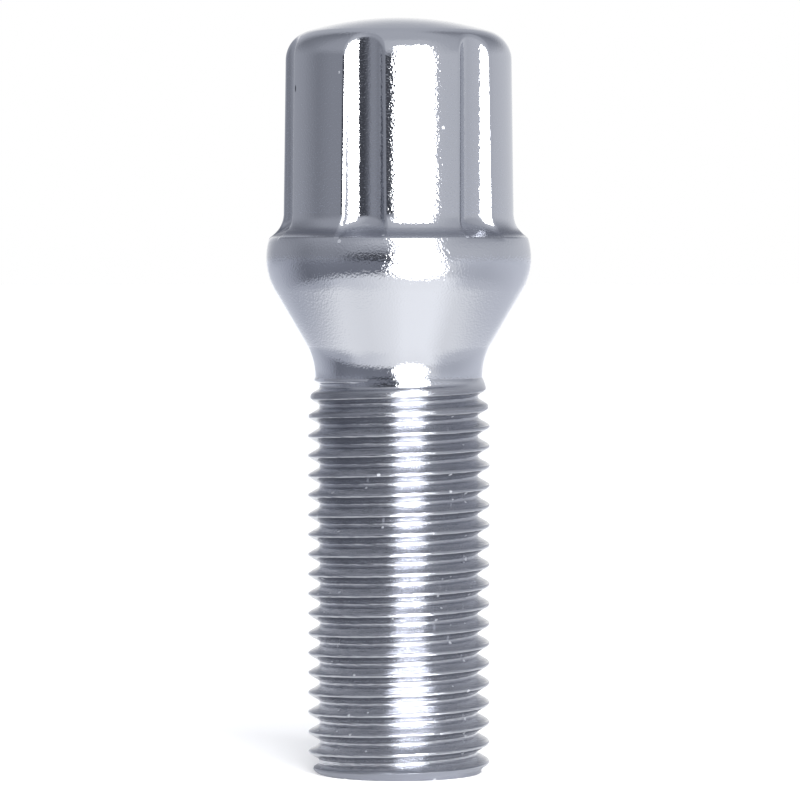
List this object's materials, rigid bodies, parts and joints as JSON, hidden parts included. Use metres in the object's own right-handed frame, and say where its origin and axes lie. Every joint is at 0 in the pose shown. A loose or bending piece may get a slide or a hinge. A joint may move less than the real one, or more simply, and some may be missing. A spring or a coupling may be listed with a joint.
{
  "type": "wheel bolt",
  "caption": "Chrome-plated wheel bolt: fluted round head with a domed top, bulged collar, 60 degree cone seat and a rolled thread to a flat bevelled end.",
  "frame": {"origin": "centre of the flat end face, on the bolt's axis", "axes": "+Z along the bolt's axis from the threaded end to the domed head; -Y towards the side that the picture shows"},
  "size_m": [0.02, 0.02, 0.0573],
  "materials": {
    "chrome_plate": "chrome plating on forged steel, bright with a fine grain"
  },
  "bodies": {
    "root": {"wheel_bolt": "chrome_plate"}
  },
  "joints": []
}
